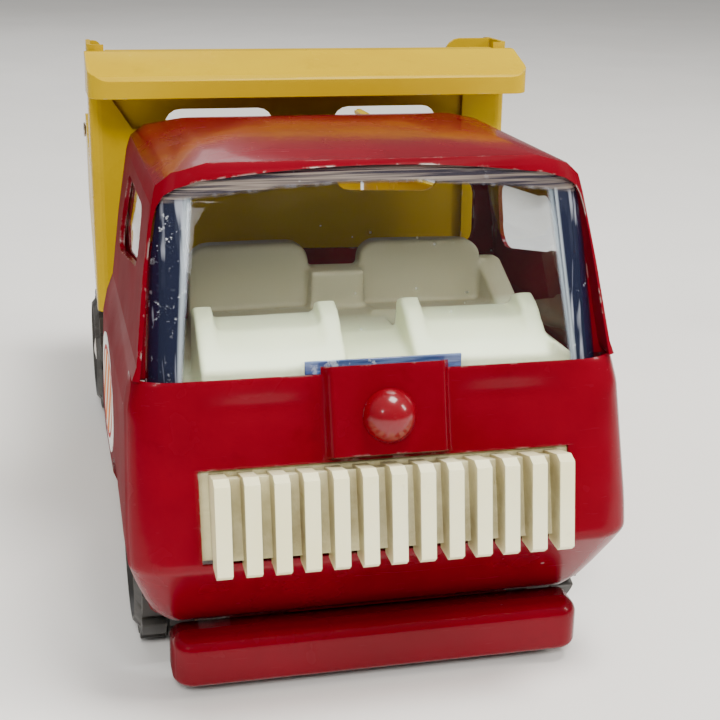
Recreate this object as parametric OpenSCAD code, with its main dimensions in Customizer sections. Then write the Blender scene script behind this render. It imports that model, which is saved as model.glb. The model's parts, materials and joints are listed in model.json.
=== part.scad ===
// Push-along cab-over dump truck in pressed steel with moulded plastic inserts.
// Millimetres, +Z up. The nose points to -Y and the tailgate to +Y.
// The origin lies on the ground, under the middle of the overall length and width.
// Lengths along the truck are measured from the fold line at the foot of the nose panel.

/* [Sheet metal] */
// Thickness of the pressed steel body sheet
sheet = 0.7; // [0.5:0.05:1.0]
// Thickness of the chassis sheet
frame_sheet = 0.8; // [0.6:0.05:1.2]

/* [Cab] */
// Half width of the cab at its widest
cab_half = 34; // [32:0.5:36]
// Length from the nose fold to the back wall of the cab
cab_length = 56; // [52:1:57]
// Height of the middle of the cab roof above the ground
roof_height = 72; // [70:0.5:73]
// Height of the fold between the nose panel and the apron below it
fold_height = 21; // [20:0.5:23]
// Backward lean of the nose and the windscreen, in degrees
nose_lean = 14.7; // [12:0.1:17]
// Length of the rounded corners of the nose, along the truck
nose_corner = 4; // [3:0.5:6]
// Height of the free top edge of the nose panel
belt_height = 44.3; // [43:0.1:46]
// Width of the raised pad on the nose panel
pad_width = 17.2; // [14:0.2:20]
// Diameter of the domed rivet head on the pad
rivet_head = 7.2; // [5:0.1:8]

/* [Grille] */
// Number of upright ribs in the grille
rib_count = 13; // [9:1:15]
// Width across the row of ribs
grille_width = 47; // [40:0.2:48]
// Width of one rib
rib_width = 2; // [1.4:0.1:2.6]
// Distance the foot of a rib stands out from the nose panel
rib_reach = 4.4; // [2.4:0.1:4.6]

/* [Wheels] */
// Wheel diameter over the tread
wheel_diameter = 25; // [24:0.5:26]
// Wheel width
wheel_width = 9; // [8:0.25:10]
// Tread blocks in one row
tread_blocks = 14; // [10:1:18]
// Axle diameter
axle_diameter = 3; // [2:0.1:4]
// Distance of the front axle behind the nose fold
front_axle_y = 25.5; // [24:0.5:26.5]
// Distance of the rear axle behind the nose fold
rear_axle_y = 124; // [112:1:130]

/* [Dump bed] */
// Distance of the bed front behind the nose fold
bed_front_y = 62; // [61:0.5:64]
// Distance of the bed rear edge behind the nose fold
bed_rear_y = 154.5; // [152:0.5:156]
// Height of the underside of the bed floor
bed_floor_z = 38; // [38:0.1:39]
// Height of the bed sides behind the tall front wings
bed_side_z = 57; // [52:0.5:60]
// Height of the tall front wings
wing_height = 80.6; // [80:0.1:82]
// Half width of the bed at its rear edge
bed_rear_half = 31.2; // [31:0.1:33.5]
// Reach of the canopy in front of the bed
canopy_reach = 10.4; // [8:0.2:11]

/* [Hidden] */
$fn = 48;
// Running clearance round a turning pin, and gap between parts that sit together
pin_gap = 0.06;
seat_gap = 0.05;
// Clearance between parts that move past each other
moving_gap = 0.35;

axle_z = wheel_diameter / 2;
arch_radius = wheel_diameter / 2 + 1.1;
wheel_outer_x = cab_half - 1.4;
tread_depth = 1.3;
hub_recess = 1.9;

chassis_half = 20;
chassis_top = 28.2;
rail_top = bed_floor_z - moving_gap;
chassis_front_y = 11.2;
flange_foot = 8;
bumper_half = 28.5;
bumper_top = 8.9;
bumper_foot = 2;
bumper_front_y = 3.4;
bumper_rear_y = 9.6;
tongue_half = 12;
bumper_rivet_x = 8;
bumper_rivet_z = 5.4;
bumper_rivet_shank = 2.2;

cab_bottom = 9.6;
apron_run = 0.8;
side_bottom = 16;
seam_depth = 6;
belt_up = (belt_height - fold_height) / cos(nose_lean);
opening_up = 12.7;
opening_foot_up = 0.9;
corner_width = 6;
window_half = 30.3;
window_half_top = 28.7;
window_top_z = 68.4;
opening_half = grille_width / 2 + 1.3;
pad_raise = 1.6;
pad_rise = 1;
rivet_up = 18.4;
rivet_shank = 3.4;
pillar_setback = 4.4;
window_inset = 0.85;
window_wall = 1.1;

hinge_y = bed_rear_y - 4.5;
hinge_z = 34.5;
hinge_pin = 3;
lug_radius = rail_top - hinge_z;
lug_x = 17.6;
lug_sheet = 1;
lug_front_y = hinge_y - 4.2;
gate_rod = 1.8;
gate_curl = 1.8;
gate_y = bed_rear_y + moving_gap + sheet / 2;
gate_z = bed_side_z - 3.5;
gate_ear = 2.4;
gate_half = bed_rear_half - sheet - moving_gap - 0.2;
rim_width = 2;
flange_inner_x = 26.5;
wing_end_y = bed_front_y + 8;
canopy_lip_z = 73.6;
canopy_half = cab_half + 0.4;
canopy_front_y = bed_front_y - canopy_reach;
bed_corner = 1.8;
wall_y = bed_front_y + sheet + seat_gap;
wall_back = wall_y + sheet;
wall_half = cab_half - bed_corner + 0.25;
rib_foot = -0.1;
rib_front_y = rib_foot * sin(nose_lean) - rib_reach * cos(nose_lean);
front_y = -(rib_front_y + gate_y + gate_ear) / 2;

// ---------- shared helpers ----------

// Arc that replaces corner b of an outline, between its neighbours a and c; b is [x, y, radius].
function corner_arc(a, b, c, steps) =
  let (
    p = [b[0], b[1]],
    u = ([a[0], a[1]] - p) / norm([a[0], a[1]] - p),
    v = ([c[0], c[1]] - p) / norm([c[0], c[1]] - p),
    half = acos(u * v) / 2,
    reach = b[2] / tan(half),
    centre = p + (u + v) / norm(u + v) * b[2] / sin(half),
    s = p + u * reach - centre,
    e = p + v * reach - centre,
    from = atan2(s[1], s[0]),
    raw = atan2(e[1], e[0]) - from,
    turn = raw > 180 ? raw - 360 : raw < -180 ? raw + 360 : raw
  )
  [for (i = [0 : steps]) centre + b[2] * [cos(from + turn * i / steps), sin(from + turn * i / steps)]];

// Outline with rounded corners; each entry is [across, up, corner radius].
function rounded(points, steps = 4) =
  [for (i = [0 : len(points) - 1])
    each points[i][2] > 0
      ? corner_arc(points[(i + len(points) - 1) % len(points)], points[i],
                   points[(i + 1) % len(points)], steps)
      : [[points[i][0], points[i][1]]]];

// Rectangle with rounded corners, as an outline.
function round_box(x0, y0, x1, y1, r, steps = 4) =
  rounded([[x0, y0, r], [x1, y0, r], [x1, y1, r], [x0, y1, r]], steps);

// Moves a sub-part from nose coordinates to the truck origin.
module place() {
  translate([0, front_y, 0]) children();
}

// Extrudes a (length, height) outline across the truck from x0 to x1.
module across(x0, x1) {
  translate([x0, 0, 0]) rotate([90, 0, 90]) linear_extrude(x1 - x0) children();
}

// Extrudes a (width, height) outline along the truck between two stations.
module along(from, to) {
  translate([0, to, 0]) rotate([90, 0, 0]) linear_extrude(to - from) children();
}

// Frame that leans with the nose; its origin is the nose fold.
module leaning() {
  translate([0, 0, fold_height]) rotate([-nose_lean, 0, 0]) children();
}

// Box given by its lowest and highest corner.
module block(a, b) {
  translate(a) cube(b - a);
}

// Solid rod along X between two stations, at a length and height.
module rod(x0, x1, y, z, diameter) {
  translate([x0, y, z]) rotate([0, 90, 0]) cylinder(h = x1 - x0, d = diameter);
}

// Same shape on both sides of the truck.
module both_sides() {
  children();
  mirror([1, 0, 0]) children();
}

// ---------- cab outer form ----------

// Side outline of the cab; drop lengthens it downward so that the inside stays open below.
module cab_side_outline(drop) {
  brow_y = (roof_height - 2.6 - fold_height) * tan(nose_lean);
  foot = cab_bottom - drop;
  polygon([
    [(fold_height - foot) * apron_run, foot],
    [0, fold_height],
    [brow_y, roof_height - 2.6],
    [brow_y + 0.9, roof_height - 1.4],
    [brow_y + 3, roof_height - 0.7],
    [22, roof_height - 0.2],
    [32, roof_height],
    [44, roof_height - 0.3],
    [51, roof_height - 1.1],
    [cab_length - 1.5, roof_height - 2.5],
    [cab_length, roof_height - 5],
    [cab_length, side_bottom - drop],
    [37, side_bottom - drop],
    [37, foot]
  ]);
}

// Right half of the front outline of the cab, from the foot to the middle of the roof.
function cab_front_half(drop) = [
  [cab_half - 4.6, cab_bottom - drop],
  [cab_half - 3.2, cab_bottom + 1.4],
  [cab_half - 2.2, 14],
  [cab_half - 0.2, fold_height - 0.6],
  [cab_half, fold_height + 4],
  [cab_half - 0.6, belt_height - 4],
  [cab_half - 1.3, belt_height - 0.8],
  [cab_half - 2.3, belt_height + 1.8],
  [cab_half - 2.8, belt_height + 6],
  [cab_half - 3.6, belt_height + 12],
  [cab_half - 5.1, roof_height - 6.5],
  [cab_half - 5.8, roof_height - 4.2],
  [cab_half - 7.8, roof_height - 2.5],
  [cab_half - 13, roof_height - 1.2],
  [cab_half - 24, roof_height - 0.2]
];

// Front outline of the cab.
module cab_front_outline(drop) {
  half = cab_front_half(drop);
  last = len(half) - 1;
  polygon(concat(
    half,
    [[0, roof_height + 0.1]],
    [for (i = [last : -1 : 0]) [-half[i][0], half[i][1]]]
  ));
}

// Thin level slice of the cab with rounded nose corners, at height z.
module nose_slice(z, half, inset) {
  front = (z - fold_height) * tan(nose_lean) + inset / cos(nose_lean);
  wide = corner_width - inset;
  deep = nose_corner - inset;
  corner = [for (a = [0 : 15 : 90]) [half - wide + wide * sin(a), front + deep - deep * cos(a)]];
  last = len(corner) - 1;
  translate([0, 0, z]) linear_extrude(0.01) polygon(concat(
    corner,
    [[half, 90], [-half, 90]],
    [for (i = [last : -1 : 0]) [-corner[i][0], corner[i][1]]]
  ));
}

// Solid bounded by the cab surface moved inward by inset.
module cab_mass(inset, drop) {
  intersection() {
    across(-cab_half - 5, cab_half + 5) offset(delta = -inset) cab_side_outline(drop);
    along(-20, 80) offset(delta = -inset) cab_front_outline(drop);
    hull() {
      nose_slice(-10, cab_half + 0.6 - inset, inset);
      nose_slice(belt_height, cab_half - 0.3 - inset, inset);
      nose_slice(belt_height + 32, cab_half - 6.6 - inset, inset);
    }
  }
}

// Solid bounded by the outside of the wrapped window moulding, moved inward by inset.
module window_mass(inset) {
  slope = (window_half - window_half_top) / (window_top_z - belt_height);
  low_z = 20;
  high_z = 90;
  hull() {
    nose_slice(low_z, window_half + slope * (belt_height - low_z) - inset, inset + window_inset);
    nose_slice(high_z, window_half + slope * (belt_height - high_z) - inset, inset + window_inset);
  }
}

// Pressed skin of the whole cab, open below.
module cab_skin() {
  difference() {
    cab_mass(0, 0);
    cab_mass(sheet, 14);
  }
}

// Block that holds the nose panel: in front of the side seams and below the belt.
module nose_zone(grow) {
  seam_y = seam_depth / cos(nose_lean) + grow;
  belt = belt_height + grow;
  apron_back = 10.3 + grow;
  across(-cab_half - 5, cab_half + 5) polygon([
    [-10, 0], [apron_back, 0], [apron_back, cab_bottom + 2], [seam_y, fold_height],
    [seam_y + (belt - fold_height) * tan(nose_lean), belt], [-10, belt]
  ]);
}

// ---------- cab shell ----------

// Windscreen opening with narrow pillars, rounded top corners and an arched top edge.
module windscreen_cut() {
  top = roof_height - 2.1;
  sag = 1.7;
  sag_half = 25;
  side = [[cab_half - 2.6, belt_height], [cab_half - 4.6, belt_height + 15.7], [cab_half - 5.3, top - 6.2],
          [cab_half - 5.8, top - 4.6], [cab_half - 6.7, top - 3.2], [cab_half - 8.2, top - 2.3]];
  last = len(side) - 1;
  intersection() {
    along(-20, 40) polygon(concat(
      [[-cab_half, 10], [cab_half, 10]],
      side,
      [for (i = [5 : -1 : -5]) let (x = 4.6 * i) [x, top - sag * pow(x / sag_half, 2)]],
      [for (i = [last : -1 : 0]) [-side[i][0], side[i][1]]]
    ));
    leaning() block([-cab_half - 5, -5, -20], [cab_half + 5, pillar_setback, 70]);
  }
}

// Side window openings, cut through both sides.
module side_window_cut() {
  across(-cab_half - 5, cab_half + 5)
    polygon(rounded([[19.5, 56, 2], [50, 51.5, 3], [47, 63.5, 3], [22.6, 63.5, 3]]));
}

// Rear window opening.
module rear_window_cut() {
  along(cab_length - 6, cab_length + 4) polygon(round_box(-26.5, 50.5, 26.5, 63.5, 3));
}

// Tabs on the back wall that pass through the chassis; grow widens them to make the slots.
module cab_tabs(grow) {
  tab_half = 2.5;
  for (x = [-12, 12]) {
    block(
      [x - tab_half - grow, cab_length - sheet - grow, chassis_top - 2.4],
      [x + tab_half + grow, cab_length + grow, chassis_top + 1]
    );
  }
}

// Pillar flanges that fold in beside the wrapped window moulding.
module pillar_flanges() {
  intersection() {
    cab_mass(0, 0);
    difference() {
      leaning() block(
        [-cab_half - 5, pillar_setback, belt_up + 0.5],
        [cab_half + 5, pillar_setback + sheet, 80]
      );
      window_mass(-0.1);
    }
    block([-cab_half - 5, -10, 0], [cab_half + 5, 60, roof_height - 3.2]);
  }
}

module cab_shell() {
  color("firebrick") place() {
    pillar_flanges();
    difference() {
      cab_skin();
      nose_zone(seat_gap);
      windscreen_cut();
      side_window_cut();
      rear_window_cut();
      rod(-cab_half - 5, cab_half + 5, front_axle_y, axle_z, 2 * arch_radius, $fn = 96);
      block(
        [-cab_half + 3, cab_length - 4, 0],
        [cab_half - 3, cab_length + 4, chassis_top + seat_gap]
      );
    }
    cab_tabs(0);
  }
}

// ---------- nose panel ----------

// Upright prism of the raised pad, seen from above; inset moves its surface inward.
module pad_prism(up_from, up_to, inset) {
  half = pad_width / 2 - inset;
  face = inset - pad_raise;
  translate([0, 0, up_from]) linear_extrude(up_to - up_from)
    polygon([[-half, sheet], [-half, 0], [-half + 1.2, face], [half - 1.2, face], [half, 0], [half, sheet]]);
}

// Rivet hole or shank through the pad.
module pad_bore(diameter) {
  translate([0, 2, rivet_up]) rotate([90, 0, 0]) cylinder(h = 8, d = diameter);
}

module front_panel() {
  pad_foot = opening_up + 0.3;
  color("crimson") place() {
    difference() {
      intersection() {
        cab_skin();
        nose_zone(0);
      }
      leaning() block([-opening_half, -2, opening_foot_up], [opening_half, 2, opening_up]);
      leaning() block(
        [-pad_width / 2 + 0.2, -2, pad_foot + 0.3],
        [pad_width / 2 - 0.2, 2, belt_up + 4]
      );
    }
    leaning() difference() {
      pad_prism(pad_foot, belt_up + pad_rise, 0);
      pad_prism(pad_foot + sheet, belt_up + pad_rise + 1, sheet);
      block([-pad_width / 2 + 1.2, sheet - 0.01, pad_foot + sheet], [pad_width / 2 - 1.2, 2, 40]);
      pad_bore(rivet_shank + 2 * seat_gap);
    }
  }
}

module front_rivet() {
  tail_diameter = 5;
  tail_length = 0.8;
  head_height = 2.9;
  dome = (pow(rivet_head / 2, 2) + pow(head_height, 2)) / (2 * head_height);
  color("red") place() leaning() translate([0, -pad_raise - seat_gap, rivet_up]) {
    rotate([90, 0, 0]) intersection() {
      translate([0, 0, head_height - dome]) sphere(r = dome);
      cylinder(h = head_height + 1, d = rivet_head);
    }
    rotate([-90, 0, 0]) cylinder(h = sheet + 2 * seat_gap + tail_length, d = rivet_shank);
    translate([0, sheet + 2 * seat_gap, 0]) rotate([-90, 0, 0]) cylinder(h = tail_length, d = tail_diameter);
  }
}

// ---------- windows and cab interior ----------

module window_insert() {
  foot = belt_height - 1.6;
  head = roof_height - 1.7;
  back = 50.8;
  tab_half = 10.4;
  color([0.72, 0.82, 0.9, 0.5]) place() {
    difference() {
      intersection() {
        cab_mass(window_inset, 14);
        window_mass(0);
      }
      intersection() {
        cab_mass(window_inset + window_wall, 20);
        window_mass(window_wall);
      }
      block([-40, -20, -10], [40, 80, foot]);
      block([-40, -20, head], [40, 80, 90]);
      block([-40, back, -10], [40, 80, 90]);
    }
    leaning() block(
      [-tab_half, window_inset + 0.4, belt_up - 1.4],
      [tab_half, window_inset + window_wall + 1.6, belt_up + 1.5]
    );
  }
}

// Dashboard cowl on one side, with a sloping front and a dished top.
module cowl(x0, x1) {
  difference() {
    across(x0, x1) polygon([[9.5, 40], [9.5, 44], [16.5, 49.6], [19, 50.6], [21.4, 49.8], [22.4, 40]]);
    across(x0 + 2.6, x1 - 2.6) polygon([[8, 43.6], [15.4, 48], [21.6, 48.6], [21.6, 52], [8, 52]]);
  }
}

// Seat with a cushion and an upright back.
module seat(x0, x1) {
  across(x0, x1) polygon([[27, 40], [27, 45], [28.4, 46.4], [38, 45], [38, 40]]);
  along(36.4, 40) polygon(rounded([[x0, 40, 0], [x1, 40, 0], [x1, 55.4, 3], [x0, 55.4, 3]], 5));
}

module interior_moulding() {
  floor_z = 38.8;
  deck_z = 40.2;
  color([0.86, 0.89, 0.78]) place() {
    block([-27.5, 9, floor_z], [27.5, 52, deck_z]);
    both_sides() block([16.6, 20, chassis_top + seat_gap], [18, 46, deck_z]);
    cowl(-23.4, -4);
    cowl(5, 24.3);
    along(9.5, 20) polygon([[24.2, 40], [27.2, 40], [27.2, 44], [24.2, 46]]);
    seat(-22, -4.5);
    seat(3.2, 22);
    block([-4.6, 33, 40], [3.3, 39, 51.4]);
    across(-4.1, 5.1) polygon([[9.5, 40], [9.5, 43.4], [20, 45.6], [34, 45.6], [34, 40]]);
    across(21.8, 25.6) polygon([[26, 40], [26, 46], [38, 52], [41, 52], [41, 40]]);
  }
}

// ---------- grille ----------

module grille_insert() {
  pitch = (grille_width - rib_width) / (rib_count - 1);
  half = grille_width / 2;
  rib_head = 12.2;
  head_reach = rib_reach + 1.2;
  ahead = 0.15;
  flange = 2.4;
  color([0.96, 0.95, 0.78]) place() leaning() {
    block([-half, -1.6, opening_foot_up + 0.4], [half, sheet + seat_gap + 0.2, rib_head - 0.4]);
    block(
      [-half - flange, sheet + seat_gap, opening_foot_up + 0.3],
      [half + flange, sheet + seat_gap + 1, rib_head + 1.4]
    );
    for (i = [0 : rib_count - 1]) {
      x = -half + i * pitch;
      across(x, x + rib_width) polygon([
        [sheet, opening_foot_up + 0.3], [-ahead, opening_foot_up + 0.3], [-ahead, rib_foot + 0.5],
        [1 - rib_reach, rib_foot - 0.5], [-rib_reach, rib_foot],
        [-head_reach, rib_head - 0.9], [1.3 - head_reach, rib_head], [sheet, rib_head]
      ]);
    }
  }
}

// ---------- door decals ----------

// Oval outline on the door, tilted back.
module decal_outline(half_length, half_height) {
  translate([42, 31.5]) rotate([0, 0, 14])
    polygon([for (i = [0 : 35]) [half_length * cos(10 * i), half_height * sin(10 * i)]]);
}

// Thin oval film on one door; side is -1 on the left and 1 on the right.
module door_decal(side) {
  film = 0.12;
  color([0.95, 0.93, 0.88]) place() intersection() {
    difference() {
      along(20, 60) offset(delta = film) cab_front_outline(0);
      along(19, 61) offset(delta = 0.02) cab_front_outline(0);
    }
    across(side < 0 ? -cab_half - 2 : cab_half - 2, side < 0 ? -cab_half + 2 : cab_half + 2)
      decal_outline(12.5, 7.2);
  }
}

module door_decal_left() {
  door_decal(-1);
}

module door_decal_right() {
  door_decal(1);
}

// ---------- chassis and bumper ----------

// Side outline of the folded chassis channel, moved inward by inset at the top and front.
module chassis_outline(inset, drop) {
  polygon([
    [chassis_front_y + inset, 2.4 - drop],
    [chassis_front_y + inset, chassis_top - inset],
    [58.4 + inset, chassis_top - inset],
    [60.4 + inset, rail_top - inset],
    [hinge_y, rail_top - inset],
    [hinge_y, 30 - drop],
    [139, 20 - drop],
    [134, flange_foot - drop],
    [114, flange_foot - drop],
    [109, 20 - drop],
    [41, 20 - drop],
    [36, flange_foot - drop],
    [17, flange_foot - drop],
    [14, 2.4 - drop]
  ]);
}

module chassis() {
  inner = chassis_half - frame_sheet;
  color("dimgray") place() difference() {
    union() {
      across(-chassis_half, chassis_half) chassis_outline(0, 0);
      rod(-chassis_half, chassis_half, hinge_y, hinge_z, 2 * lug_radius);
    }
    across(-inner, inner) chassis_outline(frame_sheet, 30);
    block([-inner, lug_front_y - 0.6, 10], [inner, hinge_y + 10, 50]);
    rod(-30, 30, front_axle_y, axle_z, axle_diameter + 2 * pin_gap);
    rod(-30, 30, rear_axle_y, axle_z, axle_diameter + 2 * pin_gap);
    rod(-30, 30, hinge_y, hinge_z, hinge_pin + 2 * pin_gap);
    cab_tabs(0.1);
    for (x = [-bumper_rivet_x, bumper_rivet_x]) bumper_bore(x, bumper_rivet_shank + 2 * seat_gap);
  }
}

// Hole or shank of one bumper rivet.
module bumper_bore(x, diameter) {
  translate([x, chassis_front_y + frame_sheet + 0.6, bumper_rivet_z])
    rotate([90, 0, 0]) cylinder(h = 3, d = diameter);
}

// Plan outline of the bumper with rounded ends, moved inward by inset and open behind.
module bumper_plan(inset, rear) {
  half = bumper_half - inset;
  front = bumper_front_y + inset;
  r = 3 - inset;
  polygon(rounded([[-half, front, r], [half, front, r], [half, rear, 0], [-half, rear, 0]], 6));
}

module bumper() {
  flange_back = chassis_front_y - seat_gap;
  color("firebrick") place() difference() {
    union() {
      difference() {
        translate([0, 0, bumper_foot]) linear_extrude(bumper_top - bumper_foot)
          bumper_plan(0, bumper_rear_y);
        linear_extrude(bumper_top - frame_sheet) bumper_plan(frame_sheet, bumper_rear_y + 1);
      }
      block(
        [-tongue_half, bumper_rear_y - 2, bumper_top - frame_sheet],
        [tongue_half, flange_back, bumper_top]
      );
      block([-tongue_half, flange_back - frame_sheet, 3], [tongue_half, flange_back, bumper_top]);
    }
    for (x = [-bumper_rivet_x, bumper_rivet_x]) bumper_bore(x, bumper_rivet_shank + 2 * seat_gap);
  }
}

module bumper_rivets() {
  head = 0.9;
  head_diameter = 4;
  front = chassis_front_y - seat_gap - frame_sheet - seat_gap;
  back = chassis_front_y + frame_sheet + seat_gap;
  color("silver") place() for (x = [-bumper_rivet_x, bumper_rivet_x]) {
    translate([x, back + head, bumper_rivet_z]) rotate([90, 0, 0])
      cylinder(h = back - front + 2 * head, d = bumper_rivet_shank);
    translate([x, front, bumper_rivet_z]) rotate([90, 0, 0]) cylinder(h = head, d = head_diameter);
    translate([x, back + head, bumper_rivet_z]) rotate([90, 0, 0]) cylinder(h = head, d = head_diameter);
  }
}

// ---------- wheels and axles ----------

// One row of tread blocks as a slotted ring.
module tread_row(height, turn) {
  outer = wheel_diameter / 2;
  slot = 2 * 180 / tread_blocks * outer / 57.3 * 0.36;
  rotate([0, 0, turn]) linear_extrude(height) difference() {
    circle(r = outer, $fn = 84);
    circle(r = outer - tread_depth - 0.4, $fn = 84);
    for (i = [0 : tread_blocks - 1]) {
      rotate([0, 0, i * 360 / tread_blocks]) translate([outer - tread_depth, -slot / 2])
        square([tread_depth + 1, slot]);
    }
  }
}

// Moulded wheel along +Z: the inner face at 0 and the dished outer face at wheel_width.
module wheel_form() {
  r = wheel_diameter / 2 - tread_depth;
  bore = axle_diameter / 2 + seat_gap / 2;
  row = wheel_width / 2 - 1.1;
  rotate_extrude($fn = 84) polygon([
    [bore, 0.6], [5, 0.6], [5.6, 1.8], [8.4, 1.8], [9.2, 0.4], [r - 1.2, 0.4], [r, 1.2],
    [r, wheel_width - 1.2], [r - 1.4, wheel_width], [9.4, wheel_width], [8.6, wheel_width - 2.4],
    [5.4, wheel_width - 3], [4.6, wheel_width - hub_recess], [bore, wheel_width - hub_recess]
  ]);
  translate([0, 0, 0.9]) tread_row(row, 0);
  translate([0, 0, wheel_width - 0.9 - row]) tread_row(row, 180 / tread_blocks);
}

// Wheel on one side of an axle; side is -1 on the left and 1 on the right.
module wheel_at(y, side) {
  color([0.12, 0.12, 0.12]) place() translate([side * (wheel_outer_x - wheel_width), y, axle_z])
    rotate([0, side * 90, 0]) wheel_form();
}

module axle_at(y) {
  end = wheel_outer_x - hub_recess + 1;
  color("silver") place() rod(-end, end, y, axle_z, axle_diameter);
}

// Domed push-on caps at both ends of an axle.
module caps_at(y) {
  seat = wheel_outer_x - hub_recess + seat_gap;
  cap_radius = 3.6;
  color("gainsboro") place() both_sides() translate([seat, y, axle_z]) rotate([0, 90, 0])
    rotate_extrude() polygon([
      [axle_diameter / 2 + 0.02, 0], [cap_radius, 0], [cap_radius, 0.5], [3.1, 1.1], [2.1, 1.6],
      [0.8, 1.85], [0, 1.9], [0, 1.1], [axle_diameter / 2 + 0.02, 1.1]
    ]);
}

module front_axle() {
  axle_at(front_axle_y);
}

module front_axle_caps() {
  caps_at(front_axle_y);
}

module front_wheel_left() {
  wheel_at(front_axle_y, -1);
}

module front_wheel_right() {
  wheel_at(front_axle_y, 1);
}

module rear_axle() {
  axle_at(rear_axle_y);
}

module rear_axle_caps() {
  caps_at(rear_axle_y);
}

module rear_wheel_left() {
  wheel_at(rear_axle_y, -1);
}

module rear_wheel_right() {
  wheel_at(rear_axle_y, 1);
}

// ---------- dump bed ----------

// Half width of the tapered bed at a distance behind the nose fold.
function bed_half(y) =
  cab_half - (cab_half - bed_rear_half) * (y - bed_front_y) / (bed_rear_y - bed_front_y);

// Plan outline of the bed with folded front corners, tapering towards the rear.
module bed_plan(inset, rear) {
  half = cab_half - inset;
  back = bed_half(rear) - inset;
  front = bed_front_y + inset;
  r = bed_corner - inset;
  polygon(rounded([[-half, front, r], [half, front, r], [back, rear, 0], [-back, rear, 0]], 5));
}

// Side outline of the bed, with tall wings in front and an ear for the tailgate rod behind.
module bed_side_outline() {
  polygon(rounded([
    [bed_front_y - 1, bed_floor_z, 0], [bed_rear_y, bed_floor_z, 0],
    [bed_rear_y, gate_z - gate_ear - 1, 0], [gate_y + gate_ear, gate_z - gate_ear, 1.2],
    [gate_y + gate_ear, bed_side_z, 2], [90, bed_side_z, 10],
    [wing_end_y + 3, wing_height, 3], [bed_front_y - 1, wing_height, 0]
  ]));
}

module bed_tub() {
  wall_top = wing_height + 1;
  color("gold") place() difference() {
    union() {
      difference() {
        intersection() {
          translate([0, 0, bed_floor_z]) linear_extrude(wall_top - bed_floor_z)
            bed_plan(0, gate_y + gate_ear);
          across(-cab_half - 1, cab_half + 1) bed_side_outline();
        }
        translate([0, 0, bed_floor_z + sheet]) linear_extrude(wall_top)
          bed_plan(sheet, gate_y + gate_ear + 1);
        block([-gate_half - 0.2, bed_rear_y, 0], [gate_half + 0.2, bed_rear_y + 20, 90]);
      }
      difference() {
        translate([0, 0, bed_side_z - sheet]) linear_extrude(sheet) bed_plan(0.2, bed_rear_y - 1);
        translate([0, 0, bed_side_z - 2]) linear_extrude(4) bed_plan(rim_width, bed_rear_y + 1);
        block([-40, bed_front_y - 1, bed_side_z - 2], [40, wing_end_y + 22, bed_side_z + 2]);
      }
      along(wing_end_y - sheet, wing_end_y)
        polygon(rounded([[25.5, 70, 0], [33.4, 62, 0], [33.4, wing_height, 0], [25.5, wing_height, 2.4]]));
      along(wing_end_y - sheet, wing_end_y)
        polygon(rounded([
          [-31.4, 66, 0], [-31.4, wing_height, 1.2], [-33.4, wing_height, 0], [-33.4, 62, 0]
        ]));
    }
    block(
      [-wall_half - seat_gap, bed_front_y - 2, 0],
      [wall_half + seat_gap, wall_back + seat_gap, bed_floor_z + sheet + 0.01]
    );
    block(
      [-flange_inner_x, bed_front_y - 2, bed_floor_z + sheet],
      [flange_inner_x, bed_front_y + sheet + 0.01, 90]
    );
    along(bed_front_y - 2, bed_front_y + sheet + 0.01) polygon([
      [-31.4, canopy_lip_z], [-27.4, canopy_lip_z - 6], [-20, canopy_lip_z - 6], [-20, 90], [-31.4, 90]
    ]);
    along(bed_front_y - 2, bed_front_y + sheet + 0.01)
      polygon([[26, canopy_lip_z - 1], [29.6, canopy_lip_z], [31.4, canopy_lip_z], [31.4, 90], [26, 90]]);
    rod(-50, 50, gate_y, gate_z, gate_rod + 2 * pin_gap, $fn = 32);
  }
}

// Canopy outline from the side: front lip, sloping top and the back edge at the bed wall.
module canopy_outline(inset) {
  polygon([
    [canopy_front_y + inset, canopy_lip_z - 4 * inset], [canopy_front_y + inset, 76.2 - inset],
    [canopy_front_y + 0.8 + inset, 77 - inset], [60.5, 79.7 - inset],
    [70, 79.8 - inset], [70, canopy_lip_z - 4 * inset]
  ]);
}

// Plan outline of the canopy with rounded ends.
module canopy_plan(inset, rear) {
  half = canopy_half - inset;
  front = canopy_front_y + inset;
  r = 3 - inset;
  polygon(rounded([[-half, front, r], [half, front, r], [half, rear, 0], [-half, rear, 0]], 5));
}

module bed_headboard() {
  window_top = 70.5;
  window_foot = 60;
  top_half = 31.2;
  color("gold") place() {
    difference() {
      intersection() {
        across(-canopy_half - 1, canopy_half + 1) canopy_outline(0);
        union() {
          linear_extrude(90) canopy_plan(0, bed_front_y - seat_gap);
          block([-top_half, bed_front_y - 1, 70], [top_half, wall_back, 90]);
        }
      }
      intersection() {
        across(-canopy_half - 1, canopy_half + 1) canopy_outline(sheet);
        linear_extrude(90) canopy_plan(sheet, 80);
      }
    }
    along(wall_y, wall_back) difference() {
      polygon([
        [-wall_half, bed_floor_z], [wall_half, bed_floor_z], [wall_half, 77],
        [top_half, 79.3], [-top_half, 79.3], [-wall_half, 77]
      ]);
      for (x = [-22.3, 4.9]) polygon(round_box(x, window_foot, x + 17.4, window_top, 2.5));
    }
  }
}

module bed_hinge_bracket() {
  plate_top = bed_floor_z - seat_gap;
  color("goldenrod") place() difference() {
    union() {
      block(
        [-lug_x - lug_sheet / 2, lug_front_y, plate_top - 0.8],
        [lug_x + lug_sheet / 2, hinge_y + 4, plate_top]
      );
      for (x = [-lug_x - lug_sheet / 2, lug_x - lug_sheet / 2]) {
        rod(x, x + lug_sheet, hinge_y, hinge_z, 2 * lug_radius - 0.4);
        block(
          [x, hinge_y - lug_radius + 0.2, hinge_z],
          [x + lug_sheet, hinge_y + lug_radius - 0.2, plate_top]
        );
      }
    }
    rod(-30, 30, hinge_y, hinge_z, hinge_pin + 2 * pin_gap);
  }
}

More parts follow.
